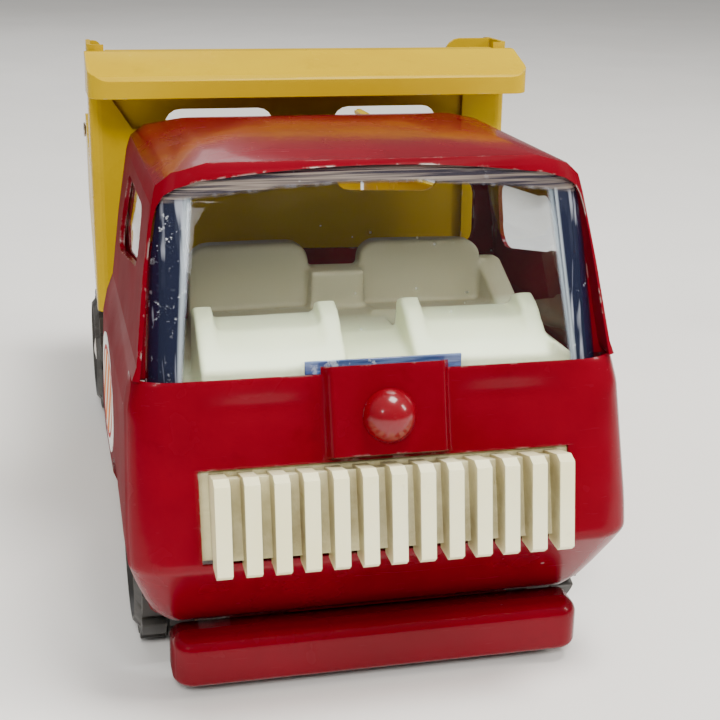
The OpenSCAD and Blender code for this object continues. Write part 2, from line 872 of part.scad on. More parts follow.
module bed_hinge_pin() {
  head_diameter = 5.2;
  head_length = 0.9;
  end = chassis_half + seat_gap;
  color("silver") place() {
    rod(-end - head_length, end + head_length, hinge_y, hinge_z, hinge_pin);
    both_sides() rod(end, end + head_length, hinge_y, hinge_z, head_diameter);
  }
}

// ---------- tailgate ----------

module tailgate() {
  foot = bed_floor_z + 0.4;
  lip = 2;
  color("gold") place() difference() {
    union() {
      rod(-gate_half, gate_half, gate_y, gate_z, 2 * gate_curl);
      block([-gate_half, gate_y - sheet / 2, foot], [gate_half, gate_y + sheet / 2, gate_z]);
      block([-10, gate_y - sheet / 2, foot], [10, gate_y + sheet / 2 + lip, foot + sheet]);
    }
    rod(-50, 50, gate_y, gate_z, gate_rod + 2 * pin_gap);
  }
}

module tailgate_rod() {
  head_diameter = 3.2;
  head_length = 0.4;
  end = bed_half(gate_y) + 0.1;
  color("silver") place() {
    rod(-end - head_length, end + head_length, gate_y, gate_z, gate_rod);
    both_sides() rod(end, end + head_length, gate_y, gate_z, head_diameter);
  }
}

chassis();
bumper();
bumper_rivets();
cab_shell();
front_panel();
front_rivet();
window_insert();
interior_moulding();
grille_insert();
door_decal_left();
door_decal_right();
front_axle();
front_axle_caps();
front_wheel_left();
front_wheel_right();
rear_axle();
rear_axle_caps();
rear_wheel_left();
rear_wheel_right();
bed_tub();
bed_headboard();
bed_hinge_bracket();
bed_hinge_pin();
tailgate();
tailgate_rod();
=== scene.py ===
import json
import math

import bmesh
import bpy
import numpy as np
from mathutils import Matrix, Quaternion, Vector


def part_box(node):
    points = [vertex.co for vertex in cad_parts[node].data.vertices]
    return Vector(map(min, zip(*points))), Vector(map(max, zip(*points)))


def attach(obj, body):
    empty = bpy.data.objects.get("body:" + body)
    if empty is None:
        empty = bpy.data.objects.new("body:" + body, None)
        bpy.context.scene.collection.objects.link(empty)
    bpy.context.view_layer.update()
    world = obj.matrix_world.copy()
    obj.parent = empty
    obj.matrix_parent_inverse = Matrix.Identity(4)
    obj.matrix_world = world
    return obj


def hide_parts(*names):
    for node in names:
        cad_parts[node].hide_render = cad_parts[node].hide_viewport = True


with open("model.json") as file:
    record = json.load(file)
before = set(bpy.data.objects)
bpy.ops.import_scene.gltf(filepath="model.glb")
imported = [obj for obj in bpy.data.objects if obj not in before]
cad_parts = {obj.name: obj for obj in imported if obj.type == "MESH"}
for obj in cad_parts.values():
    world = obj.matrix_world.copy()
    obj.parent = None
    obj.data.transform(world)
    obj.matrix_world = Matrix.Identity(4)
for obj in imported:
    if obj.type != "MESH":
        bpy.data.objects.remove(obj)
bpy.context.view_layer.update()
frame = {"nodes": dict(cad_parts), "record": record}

MM = 0.001
record = frame["record"]
body_of_node = {n: b for b, ns in record["behaviour"]["bodies"].items() for n in ns}
slot_of_node = {s["node"]: s["material_slot"] for s in record["subparts"]}

# Places on the truck, in millimetres. Lengths run back from the fold at the foot of the nose.
NOSE_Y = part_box("front_panel")[0][1] / MM
FOLD_Z = 21.0
LEAN_ANGLE = 14.7
LEAN = math.tan(math.radians(LEAN_ANGLE))
COS_LEAN = 1 / math.hypot(1, LEAN)

# Thickness of the pressed sheet, in metres.
BODY_SHEET = 0.0007
BUMPER_SHEET = 0.0008


def at(x, y, z):
    """A point given across the truck, back from the nose fold and up, in millimetres."""
    return Vector((x * MM, (y + NOSE_Y) * MM, z * MM))


# ---------------------------------------------------------------- materials

class Shader:
    """Small helper that keeps node building short."""

    def __init__(self, name):
        self.m = bpy.data.materials.new(name)
        self.m.use_nodes = True
        self.n, self.l = self.m.node_tree.nodes, self.m.node_tree.links
        self.n.clear()
        self.out = self.n.new("ShaderNodeOutputMaterial")
        self.bsdf = self.n.new("ShaderNodeBsdfPrincipled")
        self.l.new(self.bsdf.outputs[0], self.out.inputs[0])
        self.coord = self.n.new("ShaderNodeTexCoord").outputs["Object"]

    def set(self, **values):
        """Sets constants on the main shader's own sockets."""
        for k, v in values.items():
            self.bsdf.inputs[k.replace("_", " ")].default_value = v

    def link(self, value, socket):
        self.l.new(value, self.bsdf.inputs[socket])

    def split(self, vector):
        """The three parts of a vector."""
        parts = self.n.new("ShaderNodeSeparateXYZ")
        self.l.new(vector, parts.inputs[0])
        return parts.outputs

    def normal(self):
        """The three parts of the surface's direction."""
        return self.split(self.n.new("ShaderNodeNewGeometry").outputs["Normal"])

    def noise(self, scale, detail=3.0, rough=0.55, stretch=None, distortion=0.0):
        t = self.n.new("ShaderNodeTexNoise")
        t.inputs["Scale"].default_value = scale
        t.inputs["Detail"].default_value = detail
        t.inputs["Roughness"].default_value = rough
        t.inputs["Distortion"].default_value = distortion
        place = self.coord
        if stretch:
            mp = self.n.new("ShaderNodeMapping")
            mp.inputs["Scale"].default_value = stretch
            self.l.new(place, mp.inputs[0])
            place = mp.outputs[0]
        self.l.new(place, t.inputs["Vector"])
        return t.outputs["Fac"]

    def voronoi(self, scale):
        """Distance to the nearest of many scattered points."""
        t = self.n.new("ShaderNodeTexVoronoi")
        t.inputs["Scale"].default_value = scale
        self.l.new(self.coord, t.inputs["Vector"])
        return t.outputs["Distance"]

    def ramp(self, value, lo, hi, a=0.0, b=1.0):
        """Turns lo..hi into a..b, and holds the ends."""
        r = self.n.new("ShaderNodeMapRange")
        r.inputs["From Min"].default_value = lo
        r.inputs["From Max"].default_value = hi
        r.inputs["To Min"].default_value = a
        r.inputs["To Max"].default_value = b
        self.l.new(value, r.inputs["Value"])
        return r.outputs[0]

    def math(self, op, a, b=0.0):
        t = self.n.new("ShaderNodeMath")
        t.operation = op
        for i, v in enumerate((a, b)):
            if isinstance(v, (int, float)):
                t.inputs[i].default_value = v
            else:
                self.l.new(v, t.inputs[i])
        return t.outputs[0]

    def mix(self, fac, a, b):
        """Colour a where fac is 0, colour b where it is 1."""
        t = self.n.new("ShaderNodeMix")
        t.data_type = "RGBA"
        for sock, v in ((t.inputs[0], fac), (t.inputs[6], a), (t.inputs[7], b)):
            if isinstance(v, (int, float)):
                sock.default_value = v
            elif isinstance(v, tuple):
                sock.default_value = (*v, 1.0)[:4]
            else:
                self.l.new(v, sock)
        return t.outputs[2]

    def edge(self, radius, lo=0.02, hi=0.3):
        """1 on sharp edges, 0 on flats."""
        bev = self.n.new("ShaderNodeBevel")
        bev.samples = 6
        bev.inputs["Radius"].default_value = radius
        geo = self.n.new("ShaderNodeNewGeometry")
        dot = self.n.new("ShaderNodeVectorMath")
        dot.operation = "DOT_PRODUCT"
        self.l.new(bev.outputs[0], dot.inputs[0])
        self.l.new(geo.outputs["Normal"], dot.inputs[1])
        return self.ramp(self.math("SUBTRACT", 1.0, dot.outputs["Value"]), lo, hi)

    def bump(self, height, strength, distance, after=None):
        """Relief; after is the normal of another bump that this one is laid over."""
        b = self.n.new("ShaderNodeBump")
        b.inputs["Strength"].default_value = strength
        b.inputs["Distance"].default_value = distance
        self.l.new(height, b.inputs["Height"])
        if after is not None:
            self.l.new(after, b.inputs["Normal"])
        return b.outputs[0]

    def mix_shader(self, fac, a, b):
        t = self.n.new("ShaderNodeMixShader")
        for k, v in enumerate((fac, a, b)):
            self.l.new(v, t.inputs[k])
        return t.outputs[0]


def enamel(name, base, deep, chip=(0.34, 0.31, 0.28), wear=0.5, peel=0.35, rough=0.2, coat=0.15, spec=0.3,
           matt_sides=False):
    """Glossy stoved enamel on steel: orange peel, faint grime, scratches, and chips on edges.

    With matt_sides, faces that look left or right are rubbed dull by handling.
    """
    s = Shader(name)
    cloud = s.ramp(s.noise(45, 4), 0.35, 0.7)
    tone = s.mix(cloud, base, deep)
    grime = s.math("MULTIPLY", s.ramp(s.noise(170, 6, 0.7), 0.58, 0.78), 0.3)
    tone = s.mix(grime, tone, tuple(c * 0.45 for c in deep))
    edge = s.edge(0.0005, 0.05, 0.35)
    patch = s.ramp(s.noise(260, 5, 0.65), 0.6 - 0.1 * wear, 0.66 - 0.1 * wear)
    chips = s.math("MULTIPLY", edge, patch)
    fleck = s.math("MULTIPLY", s.ramp(s.voronoi(210), 0.06, 0.045), s.ramp(s.noise(38, 2), 0.62, 0.66))
    chips = s.math("MAXIMUM", chips, s.math("MULTIPLY", fleck, wear))
    s.link(s.mix(chips, tone, chip), "Base Color")
    s.link(s.math("MULTIPLY", chips, 0.7), "Metallic")
    scratch = s.ramp(s.noise(130, 2, 0.5, (1, 9, 16), 1.4), 0.7, 0.73, 0.0, 0.12)
    r = s.math("ADD", s.ramp(s.noise(120, 3), 0.3, 0.8, rough, rough + 0.12), scratch)
    r = s.math("ADD", r, s.math("MULTIPLY", chips, 0.3))
    s.set(Coat_Weight=coat, Coat_Roughness=0.06, Specular_IOR_Level=spec)
    if matt_sides:
        rubbed = s.ramp(s.math("ABSOLUTE", s.normal()[0]), 0.86, 0.97)
        r = s.math("ADD", r, s.math("MULTIPLY", rubbed, 0.45))
        s.link(s.math("MULTIPLY", s.math("SUBTRACT", 1.0, rubbed), coat), "Coat Weight")
    s.link(r, "Roughness")
    n = s.bump(s.noise(520, 2, 0.4), peel * 0.25, 0.0002)
    n = s.bump(s.noise(95, 1, 0.3), peel * 0.5, 0.0004, n)
    n = s.bump(s.math("SUBTRACT", 1.0, chips), 0.5, 0.00008, n)
    s.link(n, "Normal")
    s.l.new(n, s.bsdf.inputs["Coat Normal"])
    return s.m


def moulded(name, base, deep, rough=0.38, grime_and_shade_colour=(0.2, 0.16, 0.09), dirt_and_shade=0.5, reach=0.0022, back_shade=None):
    """Moulded plastic with a faint grain, yellowing, painted shade in the corners and grime spots.

    reach is how far from a corner the painted shade spreads. The last argument gives the painted shade
    towards the back as (y where it starts, y where it is full, colour).
    """
    s = Shader(name)
    tone = s.mix(s.ramp(s.noise(55, 4), 0.35, 0.7), base, deep)
    # Painted shade: ambient occlusion darkens corners and creases towards the grime and shade colour.
    ao = s.n.new("ShaderNodeAmbientOcclusion")
    ao.samples = 4
    ao.inputs["Distance"].default_value = reach
    painted_crease_shade = s.ramp(ao.outputs["AO"], 0.75, 0.25)
    painted_crease_shade = s.math("MULTIPLY", painted_crease_shade, s.ramp(s.noise(140, 5, 0.7), 0.2, 0.75, 0.4, 1.0))
    tone = s.mix(s.math("MULTIPLY", painted_crease_shade, dirt_and_shade), tone, grime_and_shade_colour)
    # Painted shade: darker brown towards the back, where the roof shades the seats.
    if back_shade:
        start, full, colour = back_shade
        y = s.math("ADD", s.split(s.coord)[1], s.ramp(s.noise(60, 3), 0.3, 0.7, -0.001, 0.001))
        tone = s.mix(s.ramp(y, start, full, 0.0, 0.85), tone, colour)
    spots = s.math("MULTIPLY", s.ramp(s.noise(330, 6, 0.75), 0.64, 0.74), 0.25 * dirt_and_shade)
    s.link(s.mix(spots, tone, grime_and_shade_colour), "Base Color")
    scratch = s.ramp(s.noise(120, 2, 0.5, (12, 1, 3), 0.4), 0.66, 0.7, 0.0, 0.18)
    s.link(s.math("ADD", s.ramp(s.noise(260, 3), 0.3, 0.8, rough, rough + 0.12), scratch), "Roughness")
    s.set(Subsurface_Weight=0.12, Subsurface_Scale=0.002, Subsurface_Radius=(1.0, 0.8, 0.5), IOR=1.5)
    n = s.bump(s.noise(1500, 3, 0.5), 0.12, 0.0001)
    n = s.bump(s.noise(150, 2, 0.4), 0.2, 0.0003, n)
    s.link(n, "Normal")
    return s.m


def clear_plastic(name):
    """Clear moulded window: open panes; the corner bends and the scuffed top edge carry painted dark
    refraction, painted reflection streaks, a painted highlight line and painted glints.
    """
    s = Shader(name)
    s.set(Base_Color=(0.93, 0.96, 0.98, 1.0), Transmission_Weight=1.0, IOR=1.3, Specular_IOR_Level=0.6)
    fine = s.ramp(s.noise(60, 3, 0.6, (1, 1, 22), 1.2), 0.68, 0.7, 0.0, 0.1)
    fleck_area = s.ramp(s.noise(30, 2), 0.52, 0.6, 0.0, 0.4)
    flecks = s.math("MULTIPLY", s.ramp(s.voronoi(340), 0.08, 0.05), fleck_area)
    s.link(s.math("ADD", s.math("ADD", fine, 0.01), flecks), "Roughness")
    relief = s.bump(s.noise(60, 2, 0.4), 0.06, 0.0003)
    s.link(relief, "Normal")

    # The painted dark top band starts along an arch, at edge_z in the middle and lower towards the sides.
    band_start, band_full, arch_curve = 0.0676, 0.0682, 2.7
    x, _, z = s.split(s.coord)
    arch = s.math("MULTIPLY", s.math("MULTIPLY", x, x), arch_curve)
    edge_z = s.math("ADD", z, s.math("ADD", arch, s.ramp(s.noise(150, 3), 0.3, 0.7, 0.0, 0.0004)))
    upper = s.ramp(edge_z, band_start, band_full)

    # Painted reflection streaks run up the sides and along the top.
    upright = s.ramp(s.noise(1, 2, 0.5, (900, 260, 9), 0.3), 0.54, 0.64)
    level = s.ramp(s.noise(1, 3, 0.6, (40, 40, 2600), 0.5), 0.44, 0.62)
    # Painted dark refraction with pale streaks of painted reflection, as thick clear corners show.
    side_painted_reflection = s.mix(upright, (0.006, 0.009, 0.028), (0.30, 0.32, 0.38))
    top_painted_reflection = s.mix(level, (0.035, 0.030, 0.045), (0.30, 0.25, 0.21))
    normal_x, normal_y, _ = s.normal()
    side = s.math("ABSOLUTE", normal_x)
    # Painted highlight: a bright line along the inner edge of each side bend.
    painted_highlight_line = s.math("MULTIPLY", s.ramp(side, 0.09, 0.12), s.ramp(side, 0.19, 0.15))
    side_painted_reflection = s.mix(s.math("MULTIPLY", painted_highlight_line, 0.6), side_painted_reflection, (0.50, 0.58, 0.64))
    painted_band = s.mix(upper, side_painted_reflection, top_painted_reflection)
    # Painted glints: pale specks scattered over the bands.
    glint_area = s.ramp(s.noise(90, 2), 0.5, 0.62, 0.0, 0.8)
    glint = s.math("MULTIPLY", s.ramp(s.noise(900, 4, 0.7), 0.6, 0.66), glint_area)

    # The rim shader carries the painted bands, highlight line and glints.
    rim = s.n.new("ShaderNodeBsdfPrincipled")
    s.l.new(s.mix(glint, painted_band, (0.80, 0.84, 0.88)), rim.inputs["Base Color"])
    rim.inputs["Roughness"].default_value = 0.16
    rim.inputs["Coat Weight"].default_value = 0.8
    s.l.new(relief, rim.inputs["Normal"])

    # The painted rim covers the corner bends and the top edge.
    bend = s.math("MULTIPLY", s.ramp(side, 0.09, 0.14), s.ramp(side, 0.985, 0.93))
    front = s.ramp(normal_y, -0.5, -0.7)
    back = s.ramp(normal_y, 0.5, 0.7)
    top = s.math("MULTIPLY", upper, s.math("MAXIMUM", front, back))
    painted_rim_mask = s.math("MULTIPLY", s.math("MAXIMUM", bend, top), 0.94)
    pane = s.mix_shader(painted_rim_mask, s.bsdf.outputs[0], rim.outputs[0])

    # Light passes through to the seats.
    clear = s.n.new("ShaderNodeBsdfTransparent")
    clear.inputs[0].default_value = (0.90, 0.93, 0.95, 1.0)
    path = s.n.new("ShaderNodeLightPath")
    s.l.new(s.mix_shader(path.outputs["Is Shadow Ray"], pane, clear.outputs[0]), s.out.inputs[0])
    return s.m


def bright_steel(name):
    """Drawn steel rod with fine lines and brown spots."""
    s = Shader(name)
    tone = s.mix(s.ramp(s.noise(160, 5, 0.7), 0.45, 0.75), (0.62, 0.61, 0.58), (0.25, 0.17, 0.11))
    s.link(tone, "Base Color")
    s.link(s.ramp(s.noise(420, 4), 0.3, 0.8, 0.22, 0.5), "Roughness")
    s.set(Metallic=1.0)
    s.link(s.bump(s.noise(500, 3, 0.5, (8, 1, 1)), 0.15, 0.0001), "Normal")
    return s.m


def tyre_plastic(name):
    """Black moulded plastic with scuffed edges and dust."""
    s = Shader(name)
    tone = s.mix(s.ramp(s.noise(90, 4), 0.35, 0.75), (0.020, 0.019, 0.018), (0.05, 0.045, 0.04))
    edge = s.edge(0.0006, 0.04, 0.4)
    scuff = s.math("MULTIPLY", edge, s.ramp(s.noise(240, 5, 0.7), 0.45, 0.7, 0.0, 0.55))
    tone = s.mix(scuff, tone, (0.16, 0.14, 0.12))
    dust = s.math("MULTIPLY", s.ramp(s.noise(600, 6, 0.8), 0.55, 0.8), 0.35)
    s.link(s.mix(dust, tone, (0.13, 0.11, 0.09)), "Base Color")
    s.link(s.ramp(s.noise(200, 3), 0.3, 0.8, 0.38, 0.62), "Roughness")
    s.link(s.bump(s.noise(900, 4, 0.6), 0.25, 0.00015), "Normal")
    return s.m


def decal_print(name):
    """Generic striped oval, drawn from the film's own flat coordinates."""
    s = Shader(name)
    u, v, _ = s.split(s.n.new("ShaderNodeUVMap").outputs[0])
    radius = s.math("SQRT", s.math("ADD", s.math("MULTIPLY", u, u), s.math("MULTIPLY", v, v)))
    rim = s.ramp(radius, 0.85, 0.87)
    inner = s.ramp(radius, 0.78, 0.76)
    slant = s.math("ADD", s.math("MULTIPLY", u, 2.2), s.math("MULTIPLY", v, 0.9))
    wave = s.math("PINGPONG", slant, 0.5)
    stripe = s.math("MULTIPLY", s.ramp(wave, 0.28, 0.3), inner)
    field = s.mix(inner, (0.42, 0.02, 0.015), (0.75, 0.2, 0.02))
    tone = s.mix(stripe, field, (0.80, 0.76, 0.66))
    tone = s.mix(rim, tone, (0.86, 0.85, 0.82))
    worn = s.ramp(s.noise(300, 6, 0.75), 0.6, 0.66, 0.0, 0.8)
    s.link(s.mix(worn, tone, (0.32, 0.012, 0.016)), "Base Color")
    s.link(s.ramp(s.noise(200, 3), 0.3, 0.8, 0.6, 0.75), "Roughness")
    s.set(Specular_IOR_Level=0.15)
    s.link(s.bump(s.noise(520, 2, 0.4), 0.1, 0.0002), "Normal")
    return s.m


def floor_material(name):
    """Plain pale paper."""
    s = Shader(name)
    s.link(s.mix(s.ramp(s.noise(9, 5), 0.35, 0.7), (0.94, 0.93, 0.91), (0.90, 0.89, 0.87)), "Base Color")
    s.link(s.ramp(s.noise(30, 3), 0.3, 0.8, 0.55, 0.7), "Roughness")
    return s.m


def tab_film(name):
    """Glossy face of the thick clear window tab, painted blue-grey as a reflection, with painted silver
    glints.
    """
    s = Shader(name)
    painted_reflection_streak = s.ramp(s.noise(1, 3, 0.6, (120, 120, 2200), 0.4), 0.45, 0.65)
    # Painted reflection: blue-grey streaks and silver glints stand in for what the clear tab reflects.
    tone = s.mix(painted_reflection_streak, (0.045, 0.08, 0.22), (0.15, 0.22, 0.42))
    silver_glint_area = s.ramp(s.noise(90, 2), 0.5, 0.6, 0.0, 0.8)
    painted_silver_glint = s.math("MULTIPLY", s.ramp(s.noise(700, 5, 0.7), 0.56, 0.64), silver_glint_area)
    s.link(s.mix(painted_silver_glint, tone, (0.55, 0.62, 0.74)), "Base Color")
    s.link(s.ramp(s.noise(260, 3), 0.3, 0.8, 0.12, 0.3), "Roughness")
    s.set(Coat_Weight=0.5, Coat_Roughness=0.05)
    s.link(s.bump(s.noise(300, 2), 0.1, 0.0001), "Normal")
    return s.m


MAT = {
    "red_paint": enamel("red_enamel", (0.17, 0.0, 0.008), (0.125, 0.0, 0.005), (0.45, 0.42, 0.38), wear=0.55,
                        coat=0.14, spec=0.10, matt_sides=True),
    "rivet_paint": enamel("rivet_enamel", (0.20, 0.0, 0.008), (0.16, 0.0, 0.005), wear=0.2, peel=0.2,
                          coat=0.5),
    "yellow_paint": enamel("yellow_enamel", (0.52, 0.35, 0.0), (0.47, 0.30, 0.0), (0.45, 0.40, 0.30), 0.5,
                           coat=0.05, spec=0.04),
    "chassis_paint": enamel("chassis_enamel", (0.17, 0.001, 0.007), (0.125, 0.0, 0.005), wear=0.6, rough=0.3),
    "clear_plastic": clear_plastic("clear_window"),
    # The interior gets painted shade in its corners and towards the back.
    "interior_plastic": moulded("interior_moulding_plastic", (0.70, 0.73, 0.48), (0.63, 0.66, 0.41), dirt_and_shade=0.8,
                                back_shade=(at(0, 22.5, 0).y, at(0, 29, 0).y, (0.22, 0.18, 0.105))),
    # The grille's channels get brown painted shade, spread over a long reach.
    "grille_plastic": moulded("grille_moulding_plastic", (0.97, 0.94, 0.62), (0.92, 0.87, 0.50),
                              rough=0.3, grime_and_shade_colour=(0.17, 0.11, 0.025), dirt_and_shade=1.0, reach=0.0048),
    "decal_film": decal_print("decal_print"),
    "bright_steel": bright_steel("drawn_steel"),
    "wheel_plastic": tyre_plastic("wheel_moulding_plastic"),
}
# The window tab's blue-grey colour is a painted reflection.
TAB_FILM = tab_film("window_tab_painted_reflection")


# ---------------------------------------------------------------- building

def finish_mesh(obj, node, smooth=35, bevel=None, segments=2, solid=None):
    """Adds modifiers and finish, and fixes the piece to its CAD body.

    solid is (thickness, offset) for a mesh that is one sheet. smooth is the angle below which edges are soft.
    """
    if solid:
        m = obj.modifiers.new("thickness", "SOLIDIFY")
        m.thickness, m.offset = solid
        m.use_even_offset = True
    if bevel:
        b = obj.modifiers.new("soft_edges", "BEVEL")
        b.width = bevel
        b.segments = segments
        b.limit_method = "ANGLE"
        b.angle_limit = math.radians(smooth)
        b.harden_normals = False
        b.miter_outer = "MITER_ARC"
    obj.data.polygons.foreach_set("use_smooth", [True] * len(obj.data.polygons))
    obj.data.set_sharp_from_angle(angle=math.radians(smooth))
    if not obj.data.materials:
        obj.data.materials.append(MAT[slot_of_node[node]])
    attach(obj, body_of_node[node])
    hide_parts(node)
    return obj


def add_object(name, bm=None, verts=None, faces=None):
    """An object from a bmesh, or from points and faces."""
    mesh = bpy.data.meshes.new(name)
    if bm is not None:
        bm.to_mesh(mesh)
        bm.free()
    else:
        mesh.from_pydata([tuple(v) for v in verts], [], faces)
    mesh.update()
    obj = bpy.data.objects.new(name, mesh)
    bpy.context.scene.collection.objects.link(obj)
    return obj


def from_cad(node, bevel=0.00018, segments=2, smooth=32, flat=2.0):
    """A cleaned copy of a CAD node with joined faces and softened edges."""
    bm = bmesh.new()
    bm.from_mesh(frame["nodes"][node].data)
    bmesh.ops.remove_doubles(bm, verts=bm.verts, dist=2e-6)
    bmesh.ops.dissolve_limit(bm, angle_limit=math.radians(flat), verts=bm.verts, edges=bm.edges)
    bmesh.ops.recalc_face_normals(bm, faces=bm.faces)
    obj = add_object(node + "_look", bm)
    return finish_mesh(obj, node, smooth, bevel, segments)


def grid(rows, keep):
    """Faces over a table of points; keep(i, j) says which cells stay."""
    verts = [p for row in rows for p in row]
    width = len(rows[0])
    faces = []
    for i in range(len(rows) - 1):
        for j in range(width - 1):
            if keep(i, j):
                a = i * width + j
                faces.append((a, a + 1, a + 1 + width, a + width))
    return verts, faces


# ---------------------------------------------------------------- nose panel

# Half width of the cab at each height, from the foot of the apron to the belt.
HALF_AT = [
    (9.2, 29.0), (11, 30.6), (14, 31.8), (18, 33.1), (21, 33.9),
    (25, 34), (40.3, 33.4), (43.5, 32.7), (47, 31.4),
]
APRON_FOOT = 9.2
APRON_RUN = 0.8

# The grille opening: half width, then its lower and upper edges up the lean. It reaches a little into the
# rounded fold.
OPENING_HALF, OPENING_LOW, OPENING_TOP = 24.8, 0.9, 12.7
FOLD_BITE = 0.3

# The pad round the rivet stands proud of the nose, and reaches higher than the belt edge.
PAD_HALF = 8.6
PAD_RAISE = 1.6
PAD_EDGE = (7.35, PAD_HALF)
PAD_FOOT = (12.95, 13.4)
PAD_TOP = 25.09
BELT_UP = 24.09

# A shallow dent runs across each side of the pad, below the belt. It fades in and out over these distances
# from the middle.
DENT_DEPTH, DENT_Z, DENT_WIDTH = 0.35, 40.4, 1.7
DENT_IN, DENT_OUT = (8.9, 12.5), (20, 25.5)

# The corner from nose to side: its width and depth at the fold, and how much less at the apron's foot.
CORNER_WIDE, CORNER_DEEP = 6, 4
CORNER_WIDE_LOSS, CORNER_DEEP_LOSS = 3.4, 1.6

# The seam where the nose panel meets the cab, back from the fold, and its extra run at the apron.
SEAM_BACK, SEAM_RUN, SEAM_DROP = 6.25, 4.1, 9.4


def table(x, pairs):
    """Value at x on the line through the pairs."""
    return float(np.interp(x, [p[0] for p in pairs], [p[1] for p in pairs]))


def part_way(x, lo, hi):
    """How far x is from lo to hi, held to 0..1."""
    return min(max((x - lo) / (hi - lo), 0.0), 1.0)


def step(x, lo, hi):
    """A smooth step from 0 to 1."""
    t = part_way(x, lo, hi)
    return t * t * (3 - 2 * t)


def nose_profile():
    """Points down the middle of the nose as (height up the lean, depth, z), with a rounded fold."""
    ups = [PAD_TOP, BELT_UP, 23.4, 22.6, 21.8, 21, 20.2, 19.4, 18.4, 17.4, 16.4, 15.4, 14.4]
    ups += [13.8, 13.45, 13.2, 13, OPENING_TOP, 11, 9, 7, 5, 3.4, 2.2, 1.5, OPENING_LOW]
    rows = [(u, u * COS_LEAN * LEAN, FOLD_Z + u * COS_LEAN) for u in ups]
    start = (rows[-1][1], rows[-1][2])
    fold_drop = 0.7
    end = (fold_drop * APRON_RUN, FOLD_Z - fold_drop)
    for t in (0.15, 0.3, 0.42, 0.54, 0.66, 0.8, 0.9, 1.0):
        y = (1 - t) ** 2 * start[0] + t * t * end[0]
        z = (1 - t) ** 2 * start[1] + 2 * t * (1 - t) * FOLD_Z + t * t * end[1]
        rows.append((OPENING_LOW - t * (OPENING_LOW + fold_drop), y, z))
    for z in (19.8, 19, 18, 17, 16, 15, 14, 13, 12, 11, 10, APRON_FOOT):
        rows.append((z - FOLD_Z, (FOLD_Z - z) * APRON_RUN, z))
    return rows


def nose_lines():
    """Lines across half of the nose: distances over the flat, then turns of the corner, then the side."""
    flat = [0, 2, 3.6, 5, 6.4, 7, 7.3, 7.6, 7.9, 8.2, 8.5, 8.8, 9.2]
    flat += [10, 12, 15, 18, 21, 23.4, OPENING_HALF, 26]
    turn = [10 * k for k in range(1, 10)]
    return [("flat", f) for f in flat] + [("turn", a) for a in turn] + [("side", 0.55), ("side", 1.0)]


def nose_point(row, line, side):
    """The point of the panel where a row of the profile meets a line across it."""
    up, y0, z = row
    half = table(z, HALF_AT)
    low = part_way(z, FOLD_Z, APRON_FOOT)
    wide, deep = CORNER_WIDE - CORNER_WIDE_LOSS * low, CORNER_DEEP - CORNER_DEEP_LOSS * low
    kind, value = line
    if kind == "flat":
        x = value * min(1, (half - wide) / OPENING_HALF)
        raise_pad = PAD_RAISE * (1 - step(value, *PAD_EDGE)) * step(up, *PAD_FOOT)
        dent = DENT_DEPTH * math.exp(-((z - DENT_Z) / DENT_WIDTH) ** 2)
        dent *= step(value, *DENT_IN) * (1 - step(value, *DENT_OUT))
        y = y0 + dent - raise_pad * COS_LEAN
        z += raise_pad * COS_LEAN * LEAN
    elif kind == "turn":
        a = math.radians(value)
        x = half - wide + wide * math.sin(a)
        y = y0 + deep - deep * math.cos(a)
    else:
        seam = SEAM_BACK + max(z - FOLD_Z, 0) * LEAN + SEAM_RUN * part_way(z, FOLD_Z, FOLD_Z - SEAM_DROP)
        x = half
        y = y0 + deep + value * max(seam - y0 - deep, 0.1)
    return at(side * x, y, z)


def nose_panel():
    """The nose sheet with its apron, corners, grille opening and raised pad."""
    lines = nose_lines()
    both = [(line, -1) for line in reversed(lines[1:])] + [(line, 1) for line in lines]
    rows = nose_profile()
    points = [[nose_point(row, line, side) for line, side in both] for row in rows]

    def keep(i, j):
        """Leaves out the grille opening, and keeps only the pad above the belt."""
        a, b = both[j][0], both[j + 1][0]
        within = max(a[1], b[1]) if a[0] == b[0] == "flat" else math.inf
        if i == 0:
            return within <= PAD_HALF
        in_opening = rows[i][0] <= OPENING_TOP and rows[i + 1][0] >= OPENING_LOW - FOLD_BITE
        return not (in_opening and within <= OPENING_HALF)

    verts, faces = grid(points, keep)
    bm = bmesh.new()
    made = [bm.verts.new(v) for v in verts]
    for f in faces:
        bm.faces.new([made[k] for k in f])
    loose = [v for v in bm.verts if not v.link_faces]
    bmesh.ops.delete(bm, geom=loose, context="VERTS")
    bmesh.ops.recalc_face_normals(bm, faces=bm.faces)
    front = min(bm.faces, key=lambda f: f.calc_center_median().y)
    if front.normal.y > 0:
        bmesh.ops.reverse_faces(bm, faces=bm.faces)
    obj = add_object("front_panel_look", bm)
    finish_mesh(obj, "front_panel", 50, 0.00012, 2, solid=(BODY_SHEET, -1))


nose_panel()

# ---------------------------------------------------------------- bumper

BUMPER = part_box("bumper")
BUMPER_REAR = 9.6
TONGUE_HALF, TONGUE_REAR = 12, 11.1


